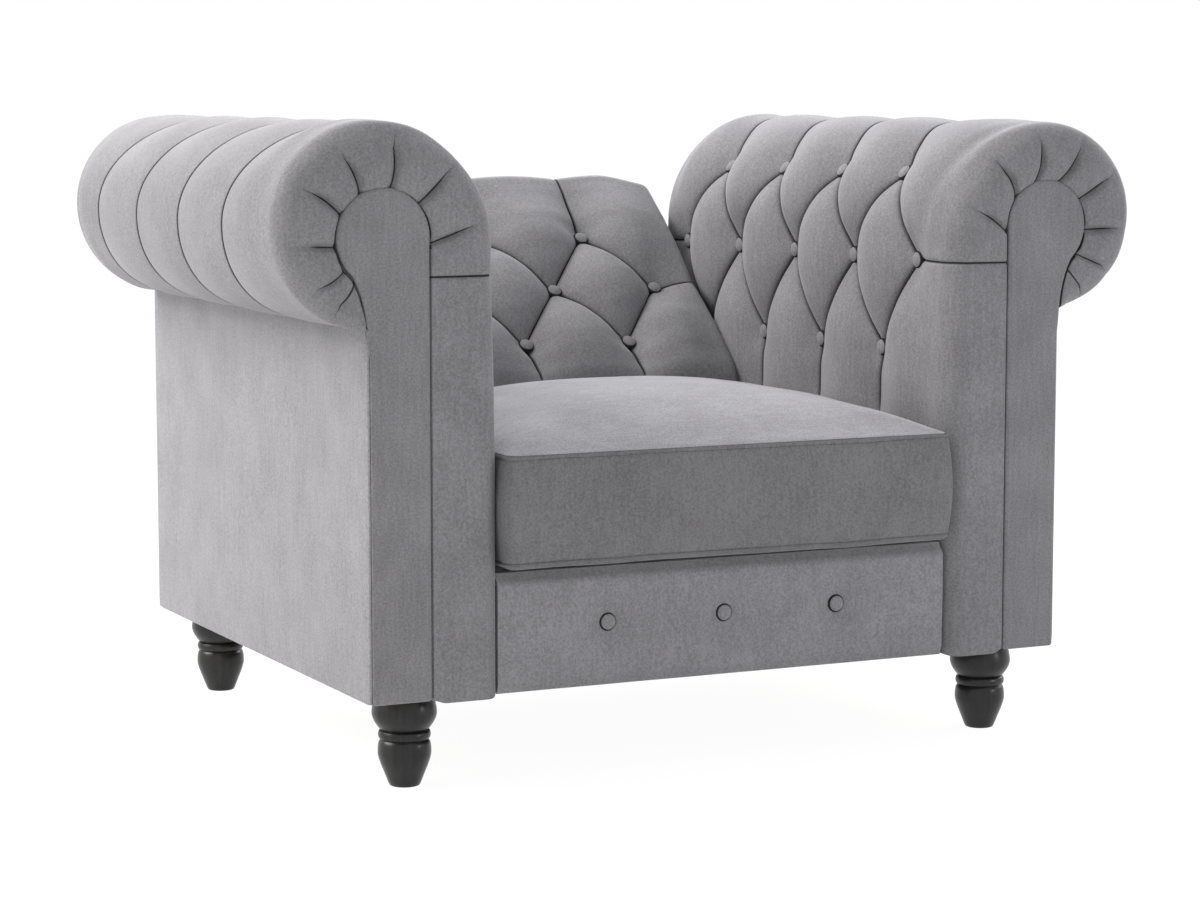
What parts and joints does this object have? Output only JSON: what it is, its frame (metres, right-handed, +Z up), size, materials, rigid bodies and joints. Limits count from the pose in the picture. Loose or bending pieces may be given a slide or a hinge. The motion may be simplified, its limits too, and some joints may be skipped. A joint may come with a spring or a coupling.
{
  "type": "chesterfield lounge chair",
  "caption": "Low rolled-arm lounge chair in grey velvet: diamond-tufted arms, a tufted back that reclines between them, a loose crowned seat cushion and turned black feet.",
  "frame": {"origin": "on the floor, at the middle of the chair's footprint with the back in the lounge position", "axes": "+X to the right as seen from the front, +Y to the rear, +Z up"},
  "size_m": [1.1034, 0.9126, 0.7429],
  "materials": {
    "velvet": "matte",
    "ebonised_wood": "satin",
    "frame_timber": "matte",
    "lining_board": "matte",
    "deck_felt": "matte",
    "base_cloth": "matte",
    "plated_steel": "satin",
    "spring_wire": "satin"
  },
  "bodies": {
    "base": {"left_arm_pad": "velvet", "right_arm_pad": "velvet", "left_arm_buttons": "velvet", "right_arm_buttons": "velvet", "left_arm_facing": "velvet", "right_arm_facing": "velvet", "left_arm_rear_panel": "velvet", "right_arm_rear_panel": "velvet", "left_arm_outside_panel": "velvet", "right_arm_outside_panel": "velvet", "left_arm_front_stump": "frame_timber", "right_arm_front_stump": "frame_timber", "left_arm_rear_stump": "frame_timber", "right_arm_rear_stump": "frame_timber", "left_arm_top_rail": "frame_timber", "right_arm_top_rail": "frame_timber", "left_arm_sole_rail": "frame_timber", "right_arm_sole_rail": "frame_timber", "left_arm_lining_board": "lining_board", "right_arm_lining_board": "lining_board", "left_seat_rail": "frame_timber", "right_seat_rail": "frame_timber", "front_seat_rail": "frame_timber", "rear_seat_rail": "frame_timber", "seat_spring_1": "spring_wire", "seat_spring_2": "spring_wire", "seat_spring_3": "spring_wire", "seat_spring_4": "spring_wire", "spring_deck_pad": "deck_felt", "base_dust_cover": "base_cloth", "front_border": "velvet", "front_border_buttons": "velvet", "rear_border": "velvet", "left_hinge_base_leaf": "plated_steel", "right_hinge_base_leaf": "plated_steel", "left_hinge_pin": "plated_steel", "right_hinge_pin": "plated_steel", "front_left_leg": "ebonised_wood", "front_right_leg": "ebonised_wood", "rear_left_leg": "ebonised_wood", "rear_right_leg": "ebonised_wood", "front_left_leg_bolt": "plated_steel", "front_right_leg_bolt": "plated_steel", "rear_left_leg_bolt": "plated_steel", "rear_right_leg_bolt": "plated_steel", "front_left_arm_bolt": "plated_steel", "front_right_arm_bolt": "plated_steel", "rear_left_arm_bolt": "plated_steel", "rear_right_arm_bolt": "plated_steel"},
    "back": {"back_pad": "velvet", "back_buttons": "velvet", "outside_back_panel": "velvet", "back_left_stile": "frame_timber", "back_right_stile": "frame_timber", "back_top_rail": "frame_timber", "back_bottom_rail": "frame_timber", "back_lining_board": "lining_board", "left_hinge_back_leaf": "plated_steel", "right_hinge_back_leaf": "plated_steel"},
    "cushion": {"seat_cushion": "velvet"}
  },
  "joints": [
    {"name": "back_recline", "type": "hinge", "parent": "base", "child": "back", "pos_m": [0, 0.115, 0.29], "axis": [-1, 0, 0], "range_deg": [-33.4, 41.6]},
    {"name": "seat_cushion_draw", "type": "slide", "parent": "base", "child": "cushion", "axis": [0, -1, 0], "range_m": [0, 0.48]}
  ]
}
